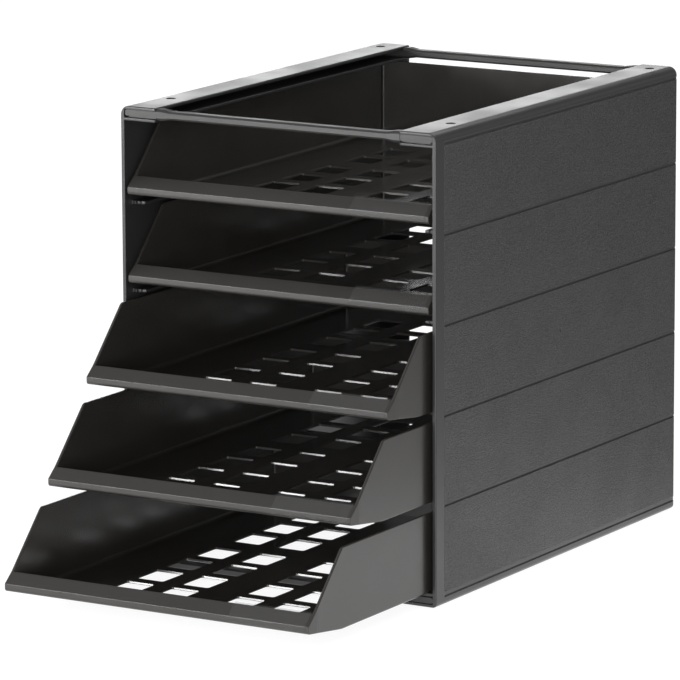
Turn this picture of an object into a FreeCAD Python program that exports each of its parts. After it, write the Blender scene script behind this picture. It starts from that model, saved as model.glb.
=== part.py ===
"""Letter tray stack: an open case of two side walls and four cross bars, with five sliding trays.

Frame: +Z up, X across the front, the trays open towards -Y. The origin is under the middle of the
whole part with its trays standing open as in OPENINGS. All sizes are in millimetres and degrees.
"""
import FreeCAD, Part
import math
import os

V = FreeCAD.Vector

# ---------------------------------------------------------------- driving dimensions: the case
CASE_WIDTH = 248.0
CASE_DEPTH = 345.0
TRAY_COUNT = 5

WALL = 2.7                    # side panel and back flange
FLANGE_WIDTH = 27.8           # turned-in flanges, from the outer face of the wall
FLANGE_SKIN = 2.2             # outer skin of the top and bottom flange
CHANNEL_HEIGHT = 5.8          # channel between the skin and the inner lip, holds a cross bar's tongue
FLANGE_LIP = 1.8              # inner lip of the flange; the bottom one is also the lowest runner

TOP_EDGE_RADIUS = 6.0         # long outer edge of the top flange
BOTTOM_EDGE_RADIUS = 3.0      # long outer edge of the bottom flange
REAR_EDGE_RADIUS = 2.0        # upright outer edge at the back
FRONT_EDGE_RADIUS = 0.8       # upright outer edge at the front
RAIL_EDGE_RADIUS = 0.7        # free inner edges of the top flange

GROOVE_MOUTH = 2.4            # decorative grooves in the outer face
GROOVE_BED = 1.0
GROOVE_DEPTH = 0.9
BASE_GROOVE_MOUTH = 3.4       # the lowest groove is wider
BASE_GROOVE_BED = 2.6
GROOVE_MARGIN = 11.4          # smooth border in front of the grooves

DIMPLE_RADIUS = 3.5           # shallow round dimples in the top flange
DIMPLE_DEPTH = 0.8
DIMPLE_INSET = 13.3           # from the outer face of the wall
DIMPLE_FRONT = 43.0           # from the front of the case
DIMPLE_REAR = 18.0            # from the back of the case
GATE_RADIUS = 1.4             # injection gate mark in the middle of each outer face
GATE_DEPTH = 0.4

# ---------------------------------------------------------------- driving dimensions: the runners
RUNNER_WIDTH = 10.6           # from the inner face of the wall
RUNNER_ROOT = 2.6             # thickness at the wall
RUNNER_TIP = 1.8              # thickness at the free edge
RUNNER_EDGE_RADIUS = 0.45
RUNNER_SETBACK = 9.0          # from the front of the case
RUNNER_SLITS = 2              # short slits in the front end of each runner
RUNNER_SLIT_WIDTH = 0.8
RUNNER_SLIT_LENGTH = 3.0

# ---------------------------------------------------------------- driving dimensions: the cross bars
BAR_DEPTH = 8.0
BAR_HEIGHT = 5.6
BAR_CHAMFER = 1.3
BAR_SETBACK = 0.5             # behind the front of the case, or in front of the back flange
HEAD_DEPTH = 8.6              # flared head that butts against the flange
HEAD_HEIGHT = 7.8
HEAD_CHAMFER = 1.7
HEAD_LENGTH = 4.6
FLARE_LENGTH = 6.4
TONGUE_HEIGHT = 4.2
TONGUE_END_RADIUS = 2.0
TONGUE_KEEL_SETBACK = 2.0     # the keel under the tongue is narrower than the tongue
BAR_FIT = 0.2                 # clearance of the tongue in its channel

# ---------------------------------------------------------------- driving dimensions: the trays
TRAY_HEIGHT = 55.0
TRAY_WALL = 2.0
TRAY_FLOOR = 1.5
SIDE_GAP = 2.6                # between a tray and the side wall, each side
RUN_GAP = 0.2                 # between a tray and its runner
REAR_GAP = 0.3                # between a closed tray and the back flange
HEAD_ROOM = 3.6               # between a tray and the runner above it
TOP_ROOM = 1.8                # between the top tray and the top flange

NOSE_OVERHANG = 1.0           # the front of a closed nose is this far in front of the case
NOSE_RISE = 5.7               # the nose is this much higher than the floor
NOSE_FACE = 5.1               # upright front of the nose, below the lip
NOSE_LENGTH = 45.0            # bevelled underside
NOSE_RADIUS = 2.4             # lower edge of the nose
NOSE_TOP_RADIUS = 0.6         # between the upright front and the lip
WALL_RAKE = 43.5              # from the nose back to the top of a tray's slanted front edge
WALL_TOP_RADIUS = 5.0
WALL_REAR_RADIUS = 2.0
WALL_EDGE_RADIUS = 0.5        # small rounding of free edges
BASE_EDGE_RADIUS = 1.4        # outer lower edges
COVE_RADIUS = 3.0             # between the floor and the side
REAR_CORNER_RADIUS = 1.5      # upright inner corners at the back

LIP_ANGLE = 40.0              # retaining lip, from the horizontal
LIP_LENGTH = 11.0
LIP_THICKNESS = 1.8
LIP_EDGE_RADIUS = 0.8

HOLE_ACROSS = 22.2            # floor holes and the ribs between them, at the underside
HOLE_ALONG = 27.5
HOLE_RADIUS = 1.6
HOLE_FLARE = 0.5              # a hole is larger by this much at the top, on every side
HOLE_RIB_ACROSS = 13.8        # rib between the two columns of a pair
HOLE_RIB_CENTRE = 29.6        # rib in the middle of the floor
HOLE_RIB_ALONG = 10.0         # rib between rows
HOLE_RIB_CROSS = 21.1         # wider rib between the front rows and the rear rows
FRONT_ROWS = 4
REAR_ROWS = 3
HOLE_REAR_MARGIN = 25.2       # solid floor behind the last row

STOP_TRAVEL = 230.0           # how far a tray pulls out before its tabs meet the stops
STOP_SLACK = 0.3              # left between a tab and its stop at the end of the travel
TAB_PROUD = 2.0               # tab on the side of a tray
TAB_LENGTH = 5.0
TAB_HEIGHT = 6.0
TAB_RISE = 4.0                # above the tray's lower edge
TAB_INSET = 5.0               # from the back of the tray
STOP_PROUD = 2.0              # stop on the inner face of the side wall
STOP_LENGTH = 4.0

# ---------------------------------------------------------------- driving dimensions: the windows
WINDOW_LENGTH = 58.4          # along the lip
WINDOW_SHEET = 0.8
WINDOW_FIT = 0.1              # between the window and the lip
WINDOW_END_GAP = 0.3          # between the window and the tray's side
WINDOW_FOOT = 1.6             # the window starts this far up the nose's front
WINDOW_REAR_REACH = 5.0       # how far the window reaches down behind the lip
WINDOW_BEAD = 0.5             # thickened lower edge
WINDOW_BEAD_WIDTH = 0.8

# ---------------------------------------------------------------- how far the trays stand open
OPENINGS = (0.0, 0.0, 53.6, 101.9, 155.4)   # from the top tray down

# ---------------------------------------------------------------- derived dimensions
FLANGE_HEIGHT = FLANGE_SKIN + CHANNEL_HEIGHT + FLANGE_LIP
PITCH = RUN_GAP + TRAY_HEIGHT + HEAD_ROOM + RUNNER_ROOT
CASE_HEIGHT = (2 * FLANGE_HEIGHT + (TRAY_COUNT - 1) * PITCH
               + RUN_GAP + TRAY_HEIGHT + TOP_ROOM)
HALF_WIDTH = CASE_WIDTH / 2
WALL_INNER = HALF_WIDTH - WALL
FLANGE_EDGE = HALF_WIDTH - FLANGE_WIDTH

WINDOW_PROUD = WINDOW_FIT + WINDOW_SHEET + WINDOW_BEAD
REACH = NOSE_OVERHANG + WINDOW_PROUD + max(OPENINGS)
FRONT = -(CASE_DEPTH - REACH) / 2       # Y of the front of the case
BACK = FRONT + CASE_DEPTH
BACK_INNER = BACK - WALL

TRAY_HALF = WALL_INNER - SIDE_GAP
TRAY_INNER = TRAY_HALF - TRAY_WALL
TRAY_ROOT = TRAY_HALF - BASE_EDGE_RADIUS    # the floor and the back end inside the side walls
NOSE = FRONT - NOSE_OVERHANG            # Y of a closed tray's nose
TRAY_BACK = BACK_INNER - REAR_GAP
TAB_REAR = TRAY_BACK - TAB_INSET
STOP_REAR = TAB_REAR - TAB_LENGTH - STOP_TRAVEL - STOP_SLACK

TONGUE_CENTRE = FLANGE_SKIN + BAR_FIT + TONGUE_HEIGHT / 2   # below the top face, above the base
CUT = 1.0                               # how far a cutter stands past a face
ROOT = WALL / 2                         # how deep runners and stops are rooted in the wall
SHAPE_TOLERANCE = 0.01


# ---------------------------------------------------------------- helpers
def box(x, y, z):
    """A box from three (low, high) pairs."""
    return Part.makeBox(x[1] - x[0], y[1] - y[0], z[1] - z[0], V(x[0], y[0], z[0]))


def corner_arc(before, corner, after, radius):
    """Start, middle and end of the arc that rounds a corner of a flat outline."""
    inward = (before - corner).normalize()
    onward = (after - corner).normalize()
    half = inward.getAngle(onward) / 2
    centre = corner + (inward + onward).normalize() * (radius / math.sin(half))
    reach = radius / math.tan(half)
    middle = centre + (corner - centre).normalize() * radius
    return corner + inward * reach, middle, corner + onward * reach


def outline(corners):
    """A closed face from (point, radius) pairs; a radius of 0 leaves the corner sharp."""
    edges = []
    count = len(corners)
    spans = []
    for i, (point, radius) in enumerate(corners):
        before = corners[i - 1][0]
        after = corners[(i + 1) % count][0]
        spans.append(corner_arc(before, point, after, radius) if radius else (point, None, point))
    for i, (start, middle, end) in enumerate(spans):
        if middle:
            edges.append(Part.Arc(start, middle, end).toShape())
        edges.append(Part.LineSegment(end, spans[(i + 1) % count][0]).toShape())
    return Part.Face(Part.Wire(edges))


def side_prism(corners, x_low, x_high):
    """Extrude an outline of (y, z, radius) corners along X."""
    face = outline([(V(x_low, y, z), radius) for y, z, radius in corners])
    return face.extrude(V(x_high - x_low, 0, 0))


def long_prism(corners, y_low, y_high):
    """Extrude an outline of (x, z, radius) corners along Y."""
    face = outline([(V(x, y_low, z), radius) for x, z, radius in corners])
    return face.extrude(V(0, y_high - y_low, 0))


def edges_where(shape, test):
    """Edges of a shape whose middle point and ends pass a test."""
    found = []
    for edge in shape.Edges:
        if test(edge.BoundBox.Center, edge.BoundBox):
            found.append(edge)
    return found


def near(a, b):
    return abs(a - b) < SHAPE_TOLERANCE


def fuse(shapes):
    """Join overlapping or touching solids into one clean solid."""
    return shapes[0].fuse(shapes[1:]).removeSplitter()


def offset_line(start, end, distance):
    """A (point, direction) line beside start-end, on its left at a positive distance."""
    along = (end - start).normalize()
    left = V(-along.y, along.x, 0)
    return start + left * distance, along


def crossing(first, second):
    """Where two (point, direction) lines of a plane meet."""
    (p, d), (q, e) = first, second
    gap = q - p
    return p + d * ((gap.x * e.y - gap.y * e.x) / (d.x * e.y - d.y * e.x))


# ---------------------------------------------------------------- the side walls
def groove(level, mouth, bed):
    """Cutter for one groove in the outer face of the right wall."""
    low = FRONT + GROOVE_MARGIN
    corners = [
        (HALF_WIDTH - GROOVE_DEPTH, level - bed / 2, 0),
        (HALF_WIDTH, level - mouth / 2, 0),
        (HALF_WIDTH + CUT, level - mouth / 2, 0),
        (HALF_WIDTH + CUT, level + mouth / 2, 0),
        (HALF_WIDTH, level + mouth / 2, 0),
        (HALF_WIDTH - GROOVE_DEPTH, level + bed / 2, 0),
    ]
    return long_prism(corners, low, BACK + CUT)


def runner(top):
    """One runner on the inner face of the right wall, slit at its front end."""
    start = FRONT + RUNNER_SETBACK
    edge = WALL_INNER - RUNNER_WIDTH
    corners = [
        (WALL_INNER + ROOT, top, 0),
        (edge, top, RUNNER_EDGE_RADIUS),
        (edge, top - RUNNER_TIP, RUNNER_EDGE_RADIUS),
        (WALL_INNER, top - RUNNER_ROOT, 0),
        (WALL_INNER + ROOT, top - RUNNER_ROOT, 0),
    ]
    rail = long_prism(corners, start, BACK_INNER + ROOT)
    segment = RUNNER_WIDTH / (RUNNER_SLITS + 1)
    slits = []
    for i in range(RUNNER_SLITS):
        middle = edge + segment * (i + 1)
        slits.append(box((middle - RUNNER_SLIT_WIDTH / 2, middle + RUNNER_SLIT_WIDTH / 2),
                         (start - CUT, start + RUNNER_SLIT_LENGTH),
                         (top - RUNNER_ROOT - CUT, top + CUT)))
    return rail.cut(slits)


def pull_out_stop(runner_top):
    """Small block on the inner face of the right wall that a tray's tab meets."""
    low = runner_top + RUN_GAP + TAB_RISE
    return box((WALL_INNER - STOP_PROUD, WALL_INNER + ROOT),
               (STOP_REAR - STOP_LENGTH, STOP_REAR),
               (low, low + TAB_HEIGHT))


def wall_block():
    """Outer form of the right wall with all its long edges rounded."""
    block = box((FLANGE_EDGE, HALF_WIDTH), (FRONT, BACK), (0, CASE_HEIGHT))

    def at_top(c, b):
        return near(b.ZMin, CASE_HEIGHT) and near(b.ZMax, CASE_HEIGHT)

    def along_y(b):
        return near(b.YMin, FRONT) and near(b.YMax, BACK)

    block = block.makeFillet(TOP_EDGE_RADIUS, edges_where(
        block, lambda c, b: at_top(c, b) and along_y(b) and near(c.x, HALF_WIDTH)))
    block = block.makeFillet(BOTTOM_EDGE_RADIUS, edges_where(
        block, lambda c, b: near(b.ZMax, 0) and along_y(b) and near(c.x, HALF_WIDTH)))
    block = block.makeFillet(RAIL_EDGE_RADIUS, edges_where(
        block, lambda c, b: at_top(c, b) and along_y(b) and near(c.x, FLANGE_EDGE)))
    rear = edges_where(block, lambda c, b: near(b.YMin, BACK) and b.XMax > FLANGE_EDGE + CUT)
    block = block.makeFillet(REAR_EDGE_RADIUS, rear)
    front = edges_where(block, lambda c, b: near(b.YMax, FRONT) and b.XMax > FLANGE_EDGE + CUT)
    return block.makeFillet(FRONT_EDGE_RADIUS, front)


def right_wall():
    """The right side wall; the left one is its mirror image."""
    wall = wall_block()
    inside_y = (FRONT - CUT, BACK_INNER)
    inside_x = (FLANGE_EDGE - CUT, WALL_INNER)
    top_lip = CASE_HEIGHT - FLANGE_HEIGHT
    cutters = [
        box(inside_x, inside_y, (FLANGE_HEIGHT, top_lip)),
        box(inside_x, inside_y, (FLANGE_SKIN, FLANGE_SKIN + CHANNEL_HEIGHT)),
        box(inside_x, inside_y, (top_lip + FLANGE_LIP, CASE_HEIGHT - FLANGE_SKIN)),
    ]
    first_groove = FLANGE_HEIGHT - RUNNER_ROOT
    cutters.append(groove(first_groove, BASE_GROOVE_MOUTH, BASE_GROOVE_BED))
    for i in range(1, TRAY_COUNT + 1):
        cutters.append(groove(first_groove + i * PITCH, GROOVE_MOUTH, GROOVE_BED))
    dimple_x = HALF_WIDTH - DIMPLE_INSET
    for y in (FRONT + DIMPLE_FRONT, BACK - DIMPLE_REAR):
        cutters.append(Part.makeCylinder(DIMPLE_RADIUS, DIMPLE_DEPTH + CUT,
                                         V(dimple_x, y, CASE_HEIGHT - DIMPLE_DEPTH)))
    cutters.append(Part.makeCylinder(GATE_RADIUS, GATE_DEPTH + CUT,
                                     V(HALF_WIDTH - GATE_DEPTH, FRONT + CASE_DEPTH / 2,
                                       CASE_HEIGHT / 2), V(1, 0, 0)))
    wall = wall.cut(cutters)
    added = [wall]
    for i in range(TRAY_COUNT):
        level = FLANGE_HEIGHT + i * PITCH
        added.append(pull_out_stop(level))
        if i:
            added.append(runner(level))
    return fuse(added)


# ---------------------------------------------------------------- the cross bars
def bar_section(x, depth, height, chamfer):
    """Eight-sided section of a bar at x, centred on the bar's axis."""
    half_d = depth / 2
    half_h = height / 2
    corners = [
        (half_d - chamfer, half_h), (half_d, half_h - chamfer),
        (half_d, chamfer - half_h), (half_d - chamfer, -half_h),
        (chamfer - half_d, -half_h), (-half_d, chamfer - half_h),
        (-half_d, half_h - chamfer), (chamfer - half_d, half_h),
    ]
    points = [V(x, y, z) for y, z in corners]
    return Part.makePolygon(points + points[:1])


def tongue(side):
    """The flat tongue at one end of a bar and the keel under it."""
    low = FLANGE_EDGE - BAR_FIT - HEAD_LENGTH / 2
    high = WALL_INNER - BAR_FIT
    half = TONGUE_HEIGHT / 2
    flat = outline([(V(low, -BAR_DEPTH / 2, -half), 0),
                    (V(high, -BAR_DEPTH / 2, -half), TONGUE_END_RADIUS),
                    (V(high, -BAR_DEPTH / 2, half), TONGUE_END_RADIUS),
                    (V(low, -BAR_DEPTH / 2, half), 0)]).extrude(V(0, BAR_DEPTH, 0))
    keel_y = BAR_DEPTH / 2 - TONGUE_KEEL_SETBACK
    keel_low = TONGUE_CENTRE - FLANGE_SKIN - CHANNEL_HEIGHT + BAR_FIT
    keel = box((low, high - TONGUE_END_RADIUS), (-keel_y, keel_y), (keel_low, -half / 2))
    end = fuse([flat, keel])
    return end if side > 0 else end.mirror(V(0, 0, 0), V(1, 0, 0))


def cross_bar(front, top):
    """One cross bar in its place: front or rear, top or bottom."""
    head = FLANGE_EDGE - BAR_FIT
    stations = [(head, True), (head - HEAD_LENGTH, True),
                (head - HEAD_LENGTH - FLARE_LENGTH, False)]
    sections = []
    for sign, order in ((-1, stations), (1, list(reversed(stations)))):
        for x, is_head in order:
            size = (HEAD_DEPTH, HEAD_HEIGHT, HEAD_CHAMFER) if is_head else (
                BAR_DEPTH, BAR_HEIGHT, BAR_CHAMFER)
            sections.append(bar_section(sign * x, *size))
    bar = fuse([Part.makeLoft(sections, True, True), tongue(-1), tongue(1)])
    if not top:
        bar = bar.mirror(V(0, 0, 0), V(0, 0, 1))
    inset = BAR_SETBACK + HEAD_DEPTH / 2
    y = FRONT + inset if front else BACK_INNER - inset
    z = CASE_HEIGHT - TONGUE_CENTRE if top else TONGUE_CENTRE
    bar.translate(V(0, y, z))
    return bar


# ---------------------------------------------------------------- the trays
# Outlines of the front are laid out in the plane of a side view: x is the part's Y, y its Z.
NOSE_FOOT = V(NOSE, NOSE_RISE, 0)
NOSE_TOP = V(NOSE, NOSE_RISE + NOSE_FACE, 0)


def lip_point(along, out):
    """A point along the lip from the top of the nose, and out from its front face."""
    angle = math.radians(LIP_ANGLE)
    slope = V(math.cos(angle), math.sin(angle), 0)
    return NOSE_TOP + slope * along + V(-slope.y, slope.x, 0) * out


def nose_line(out):
    """The upright front of the nose, offset outwards."""
    return offset_line(NOSE_FOOT, NOSE_TOP, out)


def lip_line(out):
    """The front face of the lip, offset outwards."""
    return offset_line(NOSE_TOP, lip_point(LIP_LENGTH, 0), out)


def tray_side():
    """The right side of a tray, its lower edge at Z = 0, its free edges rounded."""
    lip_top = lip_point(LIP_LENGTH, 0)
    corners = [
        (NOSE + NOSE_LENGTH, 0, 0),
        (NOSE, NOSE_RISE, NOSE_RADIUS),
        (NOSE, NOSE_RISE + NOSE_FACE, NOSE_TOP_RADIUS),
        (lip_top.x, lip_top.y, 0),
        (NOSE + WALL_RAKE, TRAY_HEIGHT, WALL_TOP_RADIUS),
        (TRAY_BACK, TRAY_HEIGHT, WALL_REAR_RADIUS),
        (TRAY_BACK, 0, 0),
    ]
    plate = side_prism(corners, TRAY_INNER, TRAY_HALF)
    plate = plate.makeFillet(BASE_EDGE_RADIUS, edges_where(
        plate, lambda c, b: near(b.XMin, TRAY_HALF) and near(b.ZMax, 0)))

    def outer(b):
        return near(b.XMin, TRAY_HALF) and b.ZMax > NOSE_RISE and not near(b.YMin, TRAY_BACK)

    def inner(b):
        return near(b.XMax, TRAY_INNER) and b.ZMax > TRAY_HEIGHT - WALL_TOP_RADIUS

    return plate.makeFillet(WALL_EDGE_RADIUS, edges_where(
        plate, lambda c, b: outer(b) or inner(b) and not near(b.YMin, TRAY_BACK)))


def tray_floor():
    """Floor, bevel, nose and retaining lip as one bent strip across the tray."""
    rear = V(TRAY_BACK, 0, 0)
    bend = V(NOSE + NOSE_LENGTH, 0, 0)
    floor_top = offset_line(rear, bend, -TRAY_FLOOR)
    bevel_top = offset_line(bend, NOSE_FOOT, -TRAY_FLOOR)
    nose_rear = nose_line(-LIP_THICKNESS)
    path = [
        (rear, 0), (bend, 0), (NOSE_FOOT, NOSE_RADIUS), (NOSE_TOP, NOSE_TOP_RADIUS),
        (lip_point(LIP_LENGTH, 0), LIP_EDGE_RADIUS),
        (lip_point(LIP_LENGTH, -LIP_THICKNESS), LIP_EDGE_RADIUS),
        (crossing(nose_rear, lip_line(-LIP_THICKNESS)), 0), (crossing(bevel_top, nose_rear), 0),
        (crossing(floor_top, bevel_top), 0), (V(TRAY_BACK, TRAY_FLOOR, 0), 0),
    ]
    return side_prism([(p.x, p.y, radius) for p, radius in path], -TRAY_ROOT, TRAY_ROOT)


def cove():
    """Hollow moulding between the floor and the right side of a tray."""
    low = NOSE + NOSE_LENGTH
    high = TRAY_BACK - TRAY_WALL / 2
    axis_x = TRAY_INNER - COVE_RADIUS
    axis_z = TRAY_FLOOR + COVE_RADIUS
    block = box((axis_x, TRAY_INNER + TRAY_WALL / 2), (low, high), (TRAY_FLOOR / 2, axis_z))
    hollow = Part.makeCylinder(COVE_RADIUS, high - low + 2 * CUT,
                               V(axis_x, low - CUT, axis_z), V(0, 1, 0))
    return block.cut(hollow)


def hole_columns():
    """X ranges of the floor holes."""
    inner = HOLE_RIB_CENTRE / 2
    outer = inner + HOLE_ACROSS + HOLE_RIB_ACROSS
    right = [(inner, inner + HOLE_ACROSS), (outer, outer + HOLE_ACROSS)]
    return right + [(-high, -low) for low, high in right]


def hole_rows():
    """Y ranges of the floor holes of a closed tray, from the rear row forwards."""
    rows = []
    rear = TRAY_BACK - TRAY_WALL - HOLE_REAR_MARGIN
    for i in range(REAR_ROWS + FRONT_ROWS):
        if i == REAR_ROWS:
            rear -= HOLE_RIB_CROSS - HOLE_RIB_ALONG
        rows.append((rear - HOLE_ALONG, rear))
        rear -= HOLE_ALONG + HOLE_RIB_ALONG
    return rows


def hole_outline(x, y, z):
    """Rounded rectangle of a hole at one level: its walls lean outwards from Z = 0 upwards."""
    growth = HOLE_FLARE * z / TRAY_FLOOR
    corners = [(x[0] - growth, y[0] - growth), (x[1] + growth, y[0] - growth),
               (x[1] + growth, y[1] + growth), (x[0] - growth, y[1] + growth)]
    return outline([(V(cx, cy, z), HOLE_RADIUS + growth) for cx, cy in corners]).OuterWire


def hole_cutter(x, y):
    """Cutter for one floor hole."""
    return Part.makeLoft([hole_outline(x, y, -CUT), hole_outline(x, y, TRAY_FLOOR + CUT)], True, True)


def hole_cutters():
    return [hole_cutter(x, y) for x in hole_columns() for y in hole_rows()]


def rear_corner():
    """Hollow moulding in the upright inner corner at the back, on the right."""
    axis_x = TRAY_INNER - REAR_CORNER_RADIUS
    axis_y = TRAY_BACK - TRAY_WALL - REAR_CORNER_RADIUS
    high = TRAY_HEIGHT - WALL_EDGE_RADIUS
    block = box((axis_x, TRAY_INNER + TRAY_WALL / 2), (axis_y, TRAY_BACK - TRAY_WALL / 2),
                (TRAY_FLOOR / 2, high))
    hollow = Part.makeCylinder(REAR_CORNER_RADIUS, high + CUT, V(axis_x, axis_y, 0))
    return block.cut(hollow)


def tab():
    """Tab on the right side of a tray that meets the pull-out stop."""
    return box((TRAY_HALF - TRAY_WALL / 2, TRAY_HALF + TAB_PROUD),
               (TAB_REAR - TAB_LENGTH, TAB_REAR), (TAB_RISE, TAB_RISE + TAB_HEIGHT))


def tray():
    """One closed tray with its lower edge at Z = 0."""
    side = tray_side()
    back = box((-TRAY_ROOT, TRAY_ROOT), (TRAY_BACK - TRAY_WALL, TRAY_BACK),
               (0, TRAY_HEIGHT - WALL_EDGE_RADIUS))
    right = [side, cove(), rear_corner(), tab()]
    left = [shape.mirror(V(0, 0, 0), V(1, 0, 0)) for shape in right]
    return fuse([tray_floor(), back] + right + left).cut(hole_cutters())


# ---------------------------------------------------------------- the label windows
def label_window():
    """Clear sleeve clipped over the nose and the lip at the right end of a closed tray."""
    inner = WINDOW_FIT
    outer = WINDOW_FIT + WINDOW_SHEET
    top = LIP_LENGTH + WINDOW_FIT
    rear = -LIP_THICKNESS - WINDOW_FIT
    foot = NOSE_RISE + WINDOW_FOOT
    path = [
        (V(NOSE - inner, foot, 0), 0),
        (crossing(nose_line(inner), lip_line(inner)), NOSE_TOP_RADIUS + inner),
        (lip_point(top, inner), 0), (lip_point(top, rear), 0),
        (lip_point(top - WINDOW_REAR_REACH, rear), 0),
        (lip_point(top - WINDOW_REAR_REACH, rear - WINDOW_SHEET), 0),
        (lip_point(top + WINDOW_SHEET, rear - WINDOW_SHEET), WINDOW_SHEET),
        (lip_point(top + WINDOW_SHEET, outer), WINDOW_SHEET),
        (crossing(nose_line(outer), lip_line(outer)), NOSE_TOP_RADIUS + outer),
        (V(NOSE - outer, foot + 2 * WINDOW_BEAD_WIDTH, 0), 0),
        (V(NOSE - WINDOW_PROUD, foot + WINDOW_BEAD_WIDTH, 0), 0),
        (V(NOSE - WINDOW_PROUD, foot, 0), 0),
    ]
    high = TRAY_INNER - WINDOW_END_GAP
    return side_prism([(p.x, p.y, radius) for p, radius in path], high - WINDOW_LENGTH, high)


# ---------------------------------------------------------------- the whole part
def placed(shape, number):
    """A copy of a closed tray's shape at its level and its opening; tray 1 is the top one."""
    level = FLANGE_HEIGHT + RUN_GAP + (TRAY_COUNT - number) * PITCH
    copy = shape.copy()
    copy.translate(V(0, -OPENINGS[number - 1], level))
    return copy


def build():
    right = right_wall()
    parts = {
        "side_wall_right": right,
        "side_wall_left": right.mirror(V(0, 0, 0), V(1, 0, 0)),
        "cross_bar_top_front": cross_bar(front=True, top=True),
        "cross_bar_top_rear": cross_bar(front=False, top=True),
        "cross_bar_bottom_front": cross_bar(front=True, top=False),
        "cross_bar_bottom_rear": cross_bar(front=False, top=False),
    }
    one_tray = tray()
    one_window = label_window()
    for number in range(1, TRAY_COUNT + 1):
        parts[f"drawer_tray_{number}"] = placed(one_tray, number)
        parts[f"label_window_{number}"] = placed(one_window, number)
    return parts


os.makedirs("parts", exist_ok=True)
for name, shape in build().items():
    solid = shape.Solids[0] if len(shape.Solids) == 1 else shape
    print(name, "valid" if solid.isValid() else "INVALID", len(shape.Solids), "solid",
          "volume %.1f cm3" % (solid.Volume / 1000), len(solid.Faces), "faces")
    solid.exportStep(f"parts/{name}.step")
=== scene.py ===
"""The looks of the letter tray stack: its plastics, a white studio and the camera."""

import math

import bpy
from mathutils import Matrix, Vector


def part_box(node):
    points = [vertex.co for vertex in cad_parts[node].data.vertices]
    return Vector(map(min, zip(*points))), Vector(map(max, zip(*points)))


# ---------------------------------------------------------------- the camera
CAMERA_PLACE = (1.9270, -3.2241, 0.9064)    # metres
CAMERA_AZIMUTH = 30.95        # degrees to the right of straight in front
CAMERA_ELEVATION = 11.31
CAMERA_ROLL = -0.24
CAMERA_LENS = 293.64          # millimetres on a sensor of SENSOR_WIDTH
SENSOR_WIDTH = 36.0
SIGHT_LIMIT = 100.0           # metres

# ---------------------------------------------------------------- the frame's own places
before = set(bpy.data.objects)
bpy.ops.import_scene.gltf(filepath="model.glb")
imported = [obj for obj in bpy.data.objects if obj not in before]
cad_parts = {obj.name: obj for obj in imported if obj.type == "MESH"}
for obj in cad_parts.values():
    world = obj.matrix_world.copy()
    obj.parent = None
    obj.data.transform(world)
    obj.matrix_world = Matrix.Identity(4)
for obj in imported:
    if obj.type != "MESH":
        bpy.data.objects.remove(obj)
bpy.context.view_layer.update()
TRAYS = [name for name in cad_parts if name.startswith("drawer_tray_")]
WINDOWS = [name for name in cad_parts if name.startswith("label_window_")]
BARS = [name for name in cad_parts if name.startswith("cross_bar_")]
WALLS = [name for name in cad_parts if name.startswith("side_wall_")]
wall_low, wall_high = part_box("side_wall_right")

# ---------------------------------------------------------------- the case's finish, in metres
FIELD_FRONT = wall_low.y + 0.0114      # the grained field starts behind a smooth border
FIELD_LOW = 0.0089                     # and runs from the lowest groove
FIELD_HIGH = 0.3130                    # to the highest one
FIELD_DEPTH = 0.0007                   # its faces lie this near the outer plane of the wall
FIELD_BLUR = 0.0003                    # half the width of its soft edge
GRAIN_SIZE = 0.0011
GRAIN_DEPTH = 0.0009
GRAIN_ROUGHNESS = 0.10                 # what the field has more than the borders
CASE_SMUDGE = 0.045
CASE_ROUNDING = 0.0010

# ---------------------------------------------------------------- the finish of the other pieces
STREAK_SIZE = 0.004
STREAK_STRETCH = (0.12, 1.0, 1.0)      # the marks run along the bars
STREAK_DEPTH = 0.00003
TRAY_SMUDGE = 0.030
TRAY_SMUDGE_DEPTH = 0.00015
SKIN_SIZE = 0.0009
SKIN_DEPTH = 0.000012
TRAY_ROUNDING = 0.0006
SATIN_DEPTH = 0.012                    # the satin lip and nose reach this far back
SATIN_BLUR = 0.001
SATIN_ROUGHNESS = 0.16                 # what they have more than the rest of a tray
HAZE_SIZE = 0.012
HAZE_DEPTH = 0.00010
BEVEL_SAMPLES = 6                      # rays that look for an edge to round off

# ---------------------------------------------------------------- the studio, 1 looks white
FLOOR_SIZE = 30.0
FLOOR_Z = -0.0002                      # just below the part, so the two faces don't fight
FLOOR_COLOUR = (0.86, 0.86, 0.86, 1.0)
FLOOR_GLOW = 1.15                      # what the camera sees
FLOOR_GLOW_SHARE = 0.80                # the rest is lit, and takes the shadow
FLOOR_PAINTED_GLOW = 0.43                     # painted pool of light on the floor, seen only in gloss, at 1 m from the part; it falls off as 1 / distance
FLOOR_PAINTED_GLOW_LIMIT = 1.75               # the painted pool's most, close to the part
FRONT_PAINTED_GLOW = 1.6                      # painted light on the floor in front of the part, seen only in gloss
FRONT_PAINTED_GLOW_EDGE = (0.2, -0.3)         # where it goes over to that, along Y
SKY_SEEN = 1.0                         # the plain white behind the part
SKY_LEFT, SKY_RIGHT = 1.7, 0.5         # mirrored low sky, on the left and on the right
SKY_TURN = (-0.4, 0.3)                 # where it goes from one to the other, along X
SKY_TOP = 0.2                          # mirrored high sky
SKY_EDGE = (0.14, 0.30)                # where it goes from low to high, along Z
SKY_FILL = 0.50                        # light on dull surfaces

LAMP_DISTANCE = 2.3
LIT_MIDDLE = Vector((0.0, 0.05, 0.16))    # what the lamps are aimed at


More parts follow.
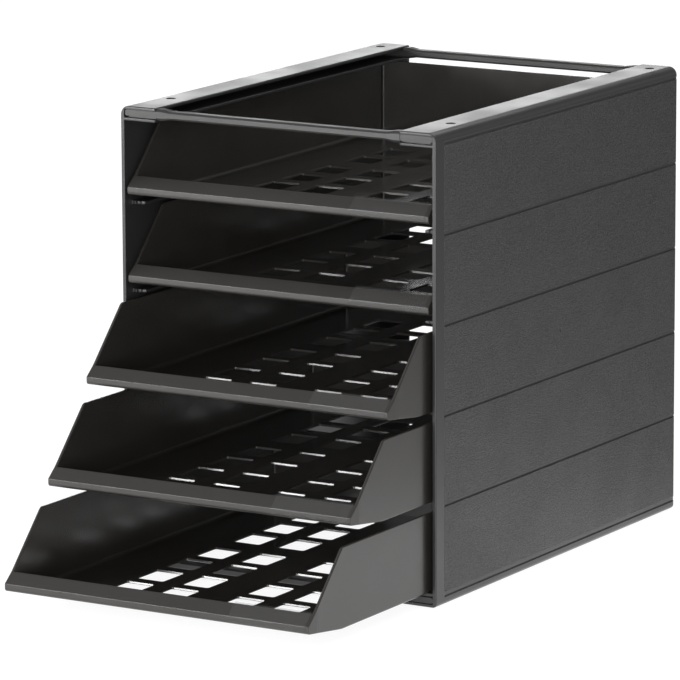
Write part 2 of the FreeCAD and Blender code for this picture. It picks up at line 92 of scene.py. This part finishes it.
# ---------------------------------------------------------------- helpers for shader nodes
class Nodes:
    """A node tree under construction: each method adds one node and gives back its output."""

    def __init__(self, owner):
        owner.use_nodes = True
        self.tree = owner.node_tree

    def node(self, kind, **settings):
        added = self.tree.nodes.new(kind)
        for key, value in settings.items():
            setattr(added, key, value)
        return added

    def feed(self, socket, value):
        """Links an output to a socket, or sets the socket to a plain value."""
        if isinstance(value, bpy.types.NodeSocket):
            self.tree.links.new(value, socket)
        else:
            socket.default_value = value

    def maths(self, operation, first, second=0.0):
        added = self.node("ShaderNodeMath", operation=operation)
        self.feed(added.inputs[0], first)
        self.feed(added.inputs[1], second)
        return added.outputs[0]

    def ramp(self, value, start, end, low=0.0, high=1.0):
        """Goes smoothly from low at start to high at end."""
        added = self.node("ShaderNodeMapRange", interpolation_type="SMOOTHSTEP")
        for socket, given in zip(added.inputs, (value, start, end, low, high)):
            self.feed(socket, given)
        return added.outputs[0]

    def mix(self, share, first, second):
        """A number between first and second."""
        added = self.node("ShaderNodeMix")
        self.feed(added.inputs[0], share)
        self.feed(added.inputs[2], first)
        self.feed(added.inputs[3], second)
        return added.outputs[0]

    def axes(self, place):
        """The X, Y and Z of a place or direction."""
        added = self.node("ShaderNodeSeparateXYZ")
        self.feed(added.inputs[0], place)
        return added.outputs


class Plastic(Nodes):
    """A material of the part, worked out from the place in the part's frame, in metres."""

    def __init__(self, name):
        self.material = bpy.data.materials.new(name)
        super().__init__(self.material)
        self.place = self.node("ShaderNodeTexCoord").outputs["Object"]

    def stretched(self, scale):
        added = self.node("ShaderNodeMapping")
        self.feed(added.inputs["Vector"], self.place)
        added.inputs["Scale"].default_value = scale
        return added.outputs[0]

    def noise(self, size, detail=2.0, roughness=0.5, vector=None):
        """Noise from 0 to 1 with lumps of about the given size."""
        added = self.node("ShaderNodeTexNoise")
        self.feed(added.inputs["Vector"], vector or self.place)
        added.inputs["Scale"].default_value = 1 / size
        added.inputs["Detail"].default_value = detail
        added.inputs["Roughness"].default_value = roughness
        return added.outputs[0]

    def blend(self, share, first, second):
        """A colour between first and second."""
        added = self.node("ShaderNodeMix", data_type="RGBA")
        self.feed(added.inputs["Factor"], share)
        self.feed(added.inputs[6], first)
        self.feed(added.inputs[7], second)
        return added.outputs[2]

    def bump(self, height, depth, normal=None):
        """A normal for a height from 0 to 1 that is depth metres high."""
        added = self.node("ShaderNodeBump")
        self.feed(added.inputs["Height"], height)
        added.inputs["Distance"].default_value = depth
        if normal:
            self.feed(added.inputs["Normal"], normal)
        return added.outputs[0]

    def rounded(self, radius):
        """A normal that rounds the edges and corners off."""
        added = self.node("ShaderNodeBevel", samples=BEVEL_SAMPLES)
        added.inputs["Radius"].default_value = radius
        return added.outputs[0]

    def finish(self, **values):
        surface = self.tree.nodes["Principled BSDF"]
        for name, value in values.items():
            self.feed(surface.inputs[name.replace("_", " ")], value)
        return self.material


def grey(value, warmth=0.0):
    """A grey, with as much more red and less blue as warmth says."""
    return (value * (1 + warmth), value, value * (1 - warmth), 1.0)


# ---------------------------------------------------------------- the plastics
def case_plastic():
    """Black polystyrene: spark-eroded grain in the outer fields, smooth borders and rims."""
    p = Plastic("case_plastic")
    x, y, z = p.axes(p.place)
    outside = p.ramp(p.maths("ABSOLUTE", x), wall_high.x - FIELD_DEPTH, wall_high.x - FIELD_DEPTH / 2)
    behind = p.ramp(y, FIELD_FRONT - FIELD_BLUR, FIELD_FRONT + FIELD_BLUR)
    above = p.ramp(z, FIELD_LOW - FIELD_BLUR, FIELD_LOW + FIELD_BLUR)
    below = p.ramp(z, FIELD_HIGH + FIELD_BLUR, FIELD_HIGH - FIELD_BLUR)
    field = p.maths("MULTIPLY", p.maths("MULTIPLY", outside, behind), p.maths("MULTIPLY", above, below))
    grain = p.noise(GRAIN_SIZE, detail=3.0, roughness=0.6)
    smudge = p.noise(CASE_SMUDGE, detail=3.0)
    smooth_colour = p.blend(smudge, grey(0.015), grey(0.020))
    grained_colour = p.blend(p.ramp(grain, 0.3, 0.7), grey(0.001), grey(0.044))
    smooth_roughness = p.ramp(smudge, 0.3, 0.7, 0.30, 0.38)
    return p.finish(
        Base_Color=p.blend(field, smooth_colour, grained_colour),
        Roughness=p.maths("ADD", p.maths("MULTIPLY", field, GRAIN_ROUGHNESS), smooth_roughness),
        Normal=p.bump(p.maths("MULTIPLY", grain, field), GRAIN_DEPTH, p.rounded(CASE_ROUNDING)),
    )


def bar_plastic():
    """The cross bars: the same black, drawn smooth, with faint marks along their length."""
    p = Plastic("bar_plastic")
    streak = p.noise(STREAK_SIZE, vector=p.stretched(STREAK_STRETCH))
    return p.finish(
        Base_Color=p.blend(streak, grey(0.016, 0.03), grey(0.024, 0.03)),
        Roughness=p.ramp(streak, 0.3, 0.7, 0.38, 0.50),
        Normal=p.bump(streak, STREAK_DEPTH),
    )


def tray_plastic(tray):
    """A tray's glossy black, with soft handling smudges and a fine moulded skin; its lip is satin."""
    p = Plastic(tray.replace("drawer_", "") + "_plastic")
    satin_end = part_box(tray)[0].y + SATIN_DEPTH
    satin = p.ramp(p.axes(p.place)["Y"], satin_end, satin_end - SATIN_BLUR, 0.0, SATIN_ROUGHNESS)
    smudge = p.noise(TRAY_SMUDGE, detail=4.0, roughness=0.55)
    skin = p.noise(SKIN_SIZE)
    worn = p.bump(smudge, TRAY_SMUDGE_DEPTH, p.rounded(TRAY_ROUNDING))
    return p.finish(
        Base_Color=p.blend(smudge, grey(0.015, 0.09), grey(0.021, 0.09)),
        Roughness=p.maths("ADD", satin, p.ramp(smudge, 0.25, 0.75, 0.19, 0.27)),
        Normal=p.bump(skin, SKIN_DEPTH, worn),
    )


def window_clear():
    """Clear sheet of the label windows, with a faint haze."""
    p = Plastic("window_clear")
    haze = p.noise(HAZE_SIZE, detail=3.0)
    return p.finish(
        Base_Color=grey(0.09),
        Alpha=0.12,
        IOR=1.6,
        Roughness=p.ramp(haze, 0.3, 0.7, 0.18, 0.30),
        Normal=p.bump(haze, HAZE_DEPTH),
    )


def dress(names, material):
    for name in names:
        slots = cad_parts[name].data.materials
        slots.clear()
        slots.append(material)


# ---------------------------------------------------------------- the studio
def studio_world():
    """Plain white behind the part; what gloss mirrors is bright low down and dim high up."""
    world = bpy.data.worlds.new("studio")
    bpy.context.scene.world = world
    n = Nodes(world)
    path = n.node("ShaderNodeLightPath").outputs
    way = n.axes(n.node("ShaderNodeTexCoord").outputs["Generated"])
    low_sky = n.ramp(way["X"], *SKY_TURN, SKY_LEFT, SKY_RIGHT)
    mirrored = n.ramp(way["Z"], *SKY_EDGE, low_sky, SKY_TOP)
    indirect = n.mix(path["Is Diffuse Ray"], mirrored, SKY_FILL)
    background = n.tree.nodes["Background"].inputs
    n.feed(background["Strength"], n.mix(path["Is Camera Ray"], indirect, SKY_SEEN))
    n.feed(background["Color"], grey(1.0))


def floor_white():
    """A dull white that takes the part's shadow, and a white glow for direct and mirrored sight; in gloss
    it is a painted pool of light, brightest near the part and in front of it.
    """
    material = bpy.data.materials.new("floor_white")
    n = Nodes(material)
    n.tree.nodes.clear()
    path = n.node("ShaderNodeLightPath").outputs
    place = n.node("ShaderNodeTexCoord").outputs["Object"]
    distance = n.node("ShaderNodeVectorMath", operation="LENGTH")
    n.feed(distance.inputs[0], place)
    # painted pool of light, seen only in gloss: brighter near the part and in front of it
    painted_glow = n.maths("DIVIDE", FLOOR_PAINTED_GLOW, distance.outputs["Value"])
    painted_glow = n.maths("MINIMUM", painted_glow, FLOOR_PAINTED_GLOW_LIMIT)
    painted_glow = n.ramp(n.axes(place)["Y"], *FRONT_PAINTED_GLOW_EDGE, painted_glow, FRONT_PAINTED_GLOW)
    seen = n.maths("MAXIMUM", path["Is Camera Ray"], path["Is Glossy Ray"])
    seen = n.maths("MAXIMUM", seen, path["Is Transmission Ray"])
    dull = n.node("ShaderNodeBsdfDiffuse")
    n.feed(dull.inputs["Color"], FLOOR_COLOUR)
    glow = n.node("ShaderNodeEmission")
    n.feed(glow.inputs["Strength"], n.mix(path["Is Glossy Ray"], FLOOR_GLOW, painted_glow))
    both = n.node("ShaderNodeMixShader")
    n.feed(both.inputs[0], n.maths("MULTIPLY", seen, FLOOR_GLOW_SHARE))
    n.feed(both.inputs[1], dull.outputs[0])
    n.feed(both.inputs[2], glow.outputs[0])
    n.feed(n.node("ShaderNodeOutputMaterial").inputs["Surface"], both.outputs[0])
    return material


def floor():
    half = FLOOR_SIZE / 2
    corners = [(-half, -half, 0), (half, -half, 0), (half, half, 0), (-half, half, 0)]
    mesh = bpy.data.meshes.new("floor")
    mesh.from_pydata(corners, [], [(0, 1, 2, 3)])
    mesh.materials.append(floor_white())
    plane = bpy.data.objects.new("floor", mesh)
    bpy.context.scene.collection.objects.link(plane)
    plane.location.z = FLOOR_Z


def direction(azimuth, elevation):
    """The way from the part at so many degrees to the right of its front and above the floor."""
    a, e = math.radians(azimuth), math.radians(elevation)
    return Vector((math.sin(a) * math.cos(e), -math.cos(a) * math.cos(e), math.sin(e)))


def softbox(name, azimuth, elevation, width, height, radiance):
    """A rectangular lamp aimed at the part; its face has the given radiance, so 1 looks white."""
    away = direction(azimuth, elevation)
    lamp = bpy.data.lights.new(name, "AREA")
    lamp.shape = "RECTANGLE"
    lamp.size = width
    lamp.size_y = height
    lamp.energy = radiance * math.pi * width * height
    box = bpy.data.objects.new(name, lamp)
    bpy.context.scene.collection.objects.link(box)
    box.location = LIT_MIDDLE + away * LAMP_DISTANCE
    box.rotation_euler = (-away).to_track_quat("-Z", "Y").to_euler()


def lights():
    """Two keys at the front right, a small lamp for the hole edges, and weak ones around."""
    softbox("key_low", azimuth=25, elevation=5, width=0.7, height=0.7, radiance=18.0)
    softbox("key_high", azimuth=25, elevation=22, width=0.7, height=0.7, radiance=8.0)
    softbox("hole_edges", azimuth=-31, elevation=11, width=0.45, height=0.60, radiance=42.0)
    softbox("overhead", azimuth=-65, elevation=55, width=1.2, height=1.2, radiance=0.45)
    softbox("back_right", azimuth=120, elevation=45, width=0.7, height=0.7, radiance=4.0)
    softbox("back", azimuth=175, elevation=50, width=1.0, height=0.7, radiance=5.0)
    softbox("back_left", azimuth=-150, elevation=9, width=0.9, height=0.40, radiance=3.0)


def camera():
    data = bpy.data.cameras.new("camera")
    data.lens = CAMERA_LENS
    data.sensor_width = SENSOR_WIDTH
    data.clip_end = SIGHT_LIMIT
    roll = math.radians(CAMERA_ROLL)
    back = direction(CAMERA_AZIMUTH, CAMERA_ELEVATION)
    level = Vector((0, 0, 1)).cross(back).normalized()
    upright = back.cross(level)
    right = level * math.cos(roll) + upright * math.sin(roll)
    up = upright * math.cos(roll) - level * math.sin(roll)
    eye = bpy.data.objects.new("camera", data)
    bpy.context.scene.collection.objects.link(eye)
    eye.matrix_world = Matrix.Translation(CAMERA_PLACE) @ Matrix((right, up, back)).transposed().to_4x4()
    bpy.context.scene.camera = eye


# ---------------------------------------------------------------- putting it together
dress(WALLS, case_plastic())
dress(BARS, bar_plastic())
for tray in TRAYS:
    dress([tray], tray_plastic(tray))
dress(WINDOWS, window_clear())
studio_world()
floor()
lights()
camera()
bpy.context.scene.view_settings.view_transform = "Standard"
